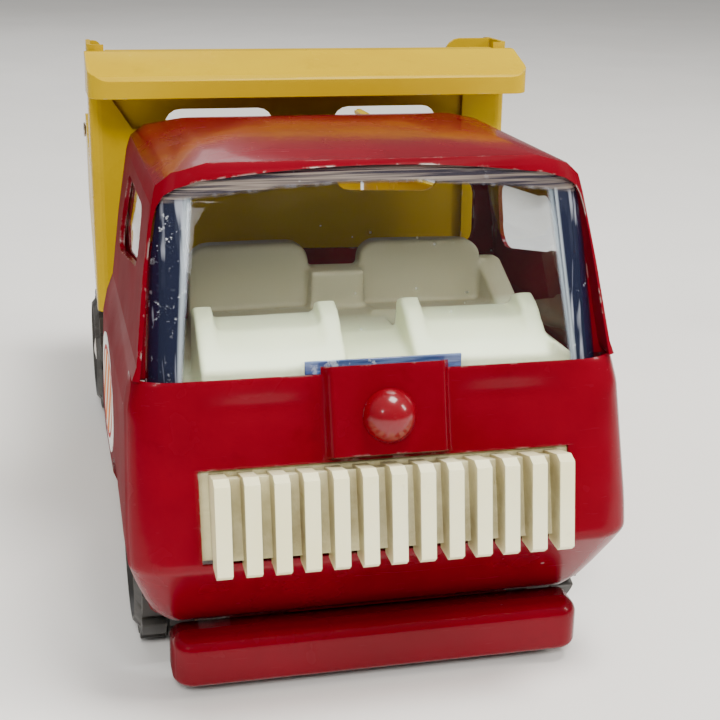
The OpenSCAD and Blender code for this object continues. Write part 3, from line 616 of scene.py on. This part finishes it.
def bumper():
    """Open-backed channel with rounded ends, shoulder and foot."""
    (x0, y0, z0), (x1, _, z1) = BUMPER
    rear = at(0, BUMPER_REAR, 0).y
    corner, shoulder, foot = 0.003, 0.0019, 0.0012
    turns = [math.radians(a) for a in range(0, 91, 10)]

    def ring(inset, z):
        r = corner - inset
        left = [(x0 + corner - r * math.cos(a), y0 + corner - r * math.sin(a), z) for a in turns]
        right = [(x1 - corner + r * math.sin(a), y0 + corner - r * math.cos(a), z) for a in turns]
        return [(x0 + inset, rear, z)] + left + right + [(x1 - inset, rear, z)]

    rings = [ring(shoulder * (1 - math.sin(a)), z1 - shoulder * (1 - math.cos(a))) for a in turns]
    rings += [ring(foot * (1 - math.cos(a)), z0 + foot * (1 - math.sin(a))) for a in turns[:-1]]
    bm = bmesh.new()
    made = [[bm.verts.new(p) for p in r] for r in rings]
    bm.faces.new(made[0])
    for a, b in zip(made, made[1:]):
        for k in range(len(a) - 1):
            bm.faces.new((a[k], a[k + 1], b[k + 1], b[k]))
    bmesh.ops.recalc_face_normals(bm, faces=bm.faces)
    if max(bm.faces, key=lambda f: f.calc_area()).normal.dot(Vector((0, -0.5, 1))) < 0:
        bmesh.ops.reverse_faces(bm, faces=bm.faces)
    obj = add_object("bumper_look", bm)
    finish_mesh(obj, "bumper", 50, solid=(BUMPER_SHEET, -1))


def plate(name, node, low, high, bevel=0.0002, material=None):
    """Flat folded tab given by two opposite corners."""
    bm = bmesh.new()
    bmesh.ops.create_cube(bm, size=1.0)
    for v in bm.verts:
        v.co = Vector([low[k] + (v.co[k] + 0.5) * (high[k] - low[k]) for k in range(3)])
    obj = add_object(name, bm)
    if material:
        obj.data.materials.append(material)
    finish_mesh(obj, node, 40, bevel)


bumper()
top, sheet = BUMPER[1][2] / MM, BUMPER_SHEET / MM
tongue_end = at(TONGUE_HALF, TONGUE_REAR, top)
flange_end = at(TONGUE_HALF, TONGUE_REAR, top - 0.1)
plate("bumper_tongue_look", "bumper", at(-TONGUE_HALF, 9, top - sheet), tongue_end)
plate("bumper_flange_look", "bumper", at(-TONGUE_HALF, TONGUE_REAR - sheet, 3), flange_end)
plate("window_tab_look", "window_insert", at(-10.4, 7.05, 44.0), at(10.6, 7.5, 45.75), 0.0001, TAB_FILM)

# ---------------------------------------------------------------- moulded cab interior

def interior():
    """The seat and dashboard moulding, with every edge softened."""
    obj = from_cad("interior_moulding", bevel=None)
    skin = obj.modifiers.new("soft_skin", "REMESH")
    skin.mode = "VOXEL"
    skin.voxel_size = 0.00038
    skin.use_smooth_shade = True
    form = obj.modifiers.new("soft_form", "SMOOTH")
    form.factor = 0.5
    form.iterations = 5


interior()

# ---------------------------------------------------------------- pieces taken from the CAD

# How each piece is softened. PLAIN keeps from_cad's own values.
STEEL_ROD = dict(bevel=0.0003)
AXLE_CAP = dict(bevel=0.00015)
WHEEL = dict(bevel=0.0003, smooth=30)
PLAIN = dict()
FILM = dict(bevel=None)
FROM_CAD = {
    "chassis": dict(bevel=0.0002),
    "bumper_rivets": dict(bevel=0.0002),
    "front_axle": STEEL_ROD, "rear_axle": STEEL_ROD,
    "front_axle_caps": AXLE_CAP, "rear_axle_caps": AXLE_CAP,
    "front_wheel_left": WHEEL, "front_wheel_right": WHEEL,
    "rear_wheel_left": WHEEL, "rear_wheel_right": WHEEL,
    "bed_tub": PLAIN, "bed_headboard": PLAIN, "bed_hinge_bracket": PLAIN, "bed_hinge_pin": PLAIN,
    "tailgate": PLAIN, "tailgate_rod": PLAIN,
    "cab_shell": PLAIN,
    "front_rivet": dict(bevel=0.0001),
    "window_insert": dict(bevel=0.00025),
    "grille_insert": dict(bevel=0.00025, segments=3),
    "door_decal_left": FILM, "door_decal_right": FILM,
}


def lay_print(obj, node):
    """Flat coordinates over the film, from -1 to 1 each way."""
    low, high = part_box(node)
    layer = obj.data.uv_layers.new(name="film")
    for loop in obj.data.loops:
        v = obj.data.vertices[loop.vertex_index].co
        layer.data[loop.index].uv = (
            (2 * v.y - low[1] - high[1]) / (high[1] - low[1]),
            (2 * v.z - low[2] - high[2]) / (high[2] - low[2]),
        )


for node, finish in FROM_CAD.items():
    piece = from_cad(node, **finish)
    if node.startswith("door_decal"):
        lay_print(piece, node)

# ---------------------------------------------------------------- setting

FLOOR = 8
corners = [(-FLOOR, -FLOOR, 0), (FLOOR, -FLOOR, 0), (FLOOR, FLOOR, 0), (-FLOOR, FLOOR, 0)]
floor_mesh = add_object("floor", verts=corners, faces=[(0, 1, 2, 3)])
floor_mesh.data.materials.append(floor_material("pale_floor"))

# The sky is a little darker near the horizon than overhead.
world = bpy.data.worlds.new("studio")
world.use_nodes = True
sky = world.node_tree
aim = sky.nodes.new("ShaderNodeTexCoord")
split = sky.nodes.new("ShaderNodeSeparateXYZ")
sky.links.new(aim.outputs["Generated"], split.inputs[0])
rise = sky.nodes.new("ShaderNodeMapRange")
rise.inputs["From Min"].default_value, rise.inputs["From Max"].default_value = 0.1, 0.8
rise.inputs["To Min"].default_value, rise.inputs["To Max"].default_value = 0.14, 0.48
sky.links.new(split.outputs[2], rise.inputs["Value"])
sky.nodes["Background"].inputs[0].default_value = (1.0, 0.985, 0.96, 1.0)
sky.links.new(rise.outputs[0], sky.nodes["Background"].inputs[1])
bpy.context.scene.world = world


def area(name, place, target, width, height, power, colour=(1, 1, 1), mirrored=True):
    """A soft rectangular light that faces target; mirrored says if glossy surfaces show it."""
    light = bpy.data.lights.new(name, "AREA")
    light.shape = "RECTANGLE"
    light.size, light.size_y = width, height
    light.energy = power
    light.color = colour
    obj = bpy.data.objects.new(name, light)
    obj.location = place
    obj.visible_glossy = mirrored
    obj.rotation_mode = "QUATERNION"
    obj.rotation_quaternion = (Vector(target) - Vector(place)).to_track_quat("-Z", "Y")
    bpy.context.scene.collection.objects.link(obj)


middle = (0, 0, 0.04)
area("overhead_soft", (0.18, -0.14, 0.8), middle, 0.3, 0.3, 8.2, (1.0, 0.97, 0.91))
area("front_fill", (-0.16, -0.82, 0.62), middle, 0.2, 0.2, 7.0, (1.0, 0.98, 0.94), False)
area("side_strip", (0.7, -0.35, 0.5), middle, 0.12, 0.3, 2.8, (1.0, 0.95, 0.88))
area("left_glint", (-0.5, -0.6, 0.5), middle, 0.05, 0.05, 0.7, (1.0, 0.98, 0.96))
area("back_soft", (-0.2, 0.8, 0.6), middle, 0.6, 0.4, 1.8)

camera = bpy.data.cameras.new("camera")
camera.lens = 70.05
camera.sensor_width = 36.0
camera.clip_start, camera.clip_end = 0.01, 50
cam = bpy.data.objects.new("camera", camera)
bpy.context.scene.collection.objects.link(cam)
target = at(-4.8, 0, 48.0)
azimuth, elevation, distance = math.radians(-13.3), math.radians(17.98), 0.1735
level = math.cos(elevation)
back = Vector((math.sin(azimuth) * level, -math.cos(azimuth) * level, math.sin(elevation)))
cam.location = target + back * distance
cam.rotation_mode = "QUATERNION"
roll = Quaternion((0, 0, 1), math.radians(0.9))
cam.rotation_quaternion = (-back).to_track_quat("-Z", "Y") @ roll
bpy.context.scene.camera = cam
